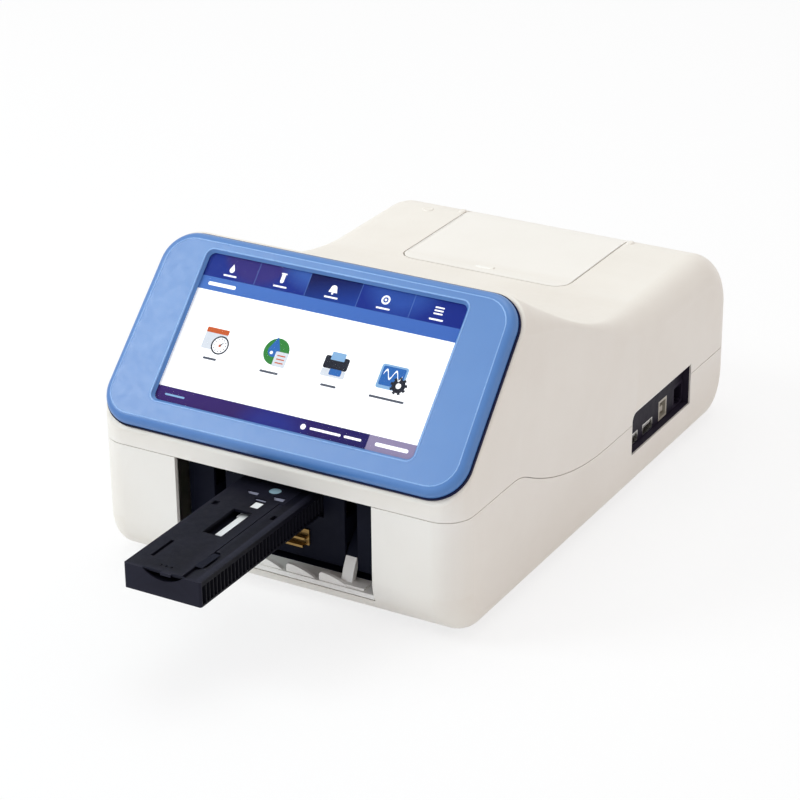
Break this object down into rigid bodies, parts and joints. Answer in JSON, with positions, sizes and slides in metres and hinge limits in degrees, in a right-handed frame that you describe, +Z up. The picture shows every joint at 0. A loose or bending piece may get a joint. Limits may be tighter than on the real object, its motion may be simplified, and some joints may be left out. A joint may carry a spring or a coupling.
{
  "type": "rapid test reader",
  "caption": "Bench-top test strip reader with a tilted touch screen, a motorised tray behind a folding front door, side data ports and a label printer under a hinged rear lid",
  "frame": {"origin": "on the table, under the middle of the whole machine with its tray run out", "axes": "+X right as seen by the user, +Y from the screen to the back, +Z up"},
  "size_m": [0.217, 0.436, 0.1641],
  "materials": {
    "housing_plastic": "fine moulded texture",
    "bezel_plastic": "satin gloss",
    "gasket_rubber": "matte",
    "screen_glass": "clear polished",
    "screen_panel": "lit panel",
    "dark_plastic": "fine matte",
    "white_plastic": "smooth",
    "cream_plastic": "smooth",
    "lens_glass": "polished",
    "sheet_steel": "zinc plated",
    "motor_metal": "painted can",
    "brass": "rolled sheet",
    "circuit_board": "solder mask",
    "foot_rubber": "matte",
    "roller_rubber": "matte",
    "roll_paper": "plain"
  },
  "bodies": {
    "housing": {"lower_housing": "housing_plastic", "upper_housing": "housing_plastic", "display_bezel": "bezel_plastic", "bezel_gasket": "gasket_rubber", "touch_glass": "screen_glass", "display_module": "screen_panel", "bay_liner": "dark_plastic", "tray_guide": "dark_plastic", "tray_sensor": "dark_plastic", "port_panel": "dark_plastic", "network_port": "dark_plastic", "power_switch": "dark_plastic", "dc_jack": "dark_plastic", "optical_head": "dark_plastic", "led_module": "dark_plastic", "paper_bin": "dark_plastic", "paper_spindle": "dark_plastic", "print_head": "dark_plastic", "display_spacers": "white_plastic", "board_standoffs": "white_plastic", "usb_b_port": "cream_plastic", "objective_lens": "lens_glass", "chassis_plate": "sheet_steel", "motor_bracket": "sheet_steel", "optics_bridge": "sheet_steel", "printer_frame": "sheet_steel", "idler_axle": "sheet_steel", "lid_hinge_pins": "sheet_steel", "door_hinge_pins": "sheet_steel", "door_springs": "sheet_steel", "chassis_screws": "sheet_steel", "housing_screws": "sheet_steel", "usb_ports": "sheet_steel", "tray_motor": "motor_metal", "printer_motor": "motor_metal", "door_catch": "brass", "network_contacts": "brass", "display_board": "circuit_board", "main_board": "circuit_board", "power_board": "circuit_board", "detector_board": "circuit_board", "rubber_feet": "foot_rubber"},
    "tray": {"tray_base": "dark_plastic", "tray_cover": "dark_plastic", "tray_rack": "dark_plastic", "reference_strip": "white_plastic", "calibration_pads": "white_plastic", "tray_lens": "lens_glass"},
    "door": {"front_door": "housing_plastic", "door_links": "dark_plastic"},
    "drive": {"drive_gear": "white_plastic"},
    "motor_shaft": {"motor_gear": "white_plastic"},
    "lid": {"printer_lid": "housing_plastic"},
    "platen": {"platen_roller": "roller_rubber", "platen_gear": "white_plastic"},
    "feed": {"feed_gear": "white_plastic"},
    "paper": {"paper_roll": "roll_paper"},
    "rocker": {"switch_rocker": "dark_plastic"}
  },
  "joints": [
    {"name": "tray_slide", "type": "slide", "parent": "housing", "child": "tray", "axis": [0, 1, 0], "range_m": [0, 0.165]},
    {"name": "door_swing", "type": "hinge", "parent": "housing", "child": "door", "pos_m": [0, -0.09185, 0.04475], "axis": [-1, 0, 0], "range_deg": [0, 90]},
    {"name": "drive_spin", "type": "hinge", "parent": "housing", "child": "drive", "pos_m": [0.0312, -0.045, 0.05], "axis": [0, 0, 1], "continuous": true},
    {"name": "motor_spin", "type": "hinge", "parent": "housing", "child": "motor_shaft", "pos_m": [0.0582, -0.045, 0.045], "axis": [0, 0, 1], "continuous": true},
    {"name": "lid_hinge", "type": "hinge", "parent": "housing", "child": "lid", "pos_m": [0, 0.214, 0.075], "axis": [-1, 0, 0], "range_deg": [0, 85]},
    {"name": "platen_spin", "type": "hinge", "parent": "lid", "child": "platen", "pos_m": [0, 0.118, 0.092], "axis": [1, 0, 0], "continuous": true},
    {"name": "feed_spin", "type": "hinge", "parent": "housing", "child": "feed", "pos_m": [0.0346, 0.118, 0.0808], "axis": [1, 0, 0], "continuous": true},
    {"name": "paper_spin", "type": "hinge", "parent": "housing", "child": "paper", "pos_m": [0, 0.168, 0.0702], "axis": [1, 0, 0], "continuous": true},
    {"name": "switch_rock", "type": "hinge", "parent": "housing", "child": "rocker", "pos_m": [-0.083, 0.2138, 0.038], "axis": [-1, 0, 0], "range_deg": [0, 16]}
  ],
  "couplings": [
    {"joint": "door_swing", "follows": "tray_slide", "rad_per_m": 9.52},
    {"joint": "drive_spin", "follows": "tray_slide", "rad_per_m": -100},
    {"joint": "motor_spin", "follows": "tray_slide", "rad_per_m": 285.71},
    {"joint": "feed_spin", "follows": "platen_spin", "ratio": -1.3333}
  ]
}
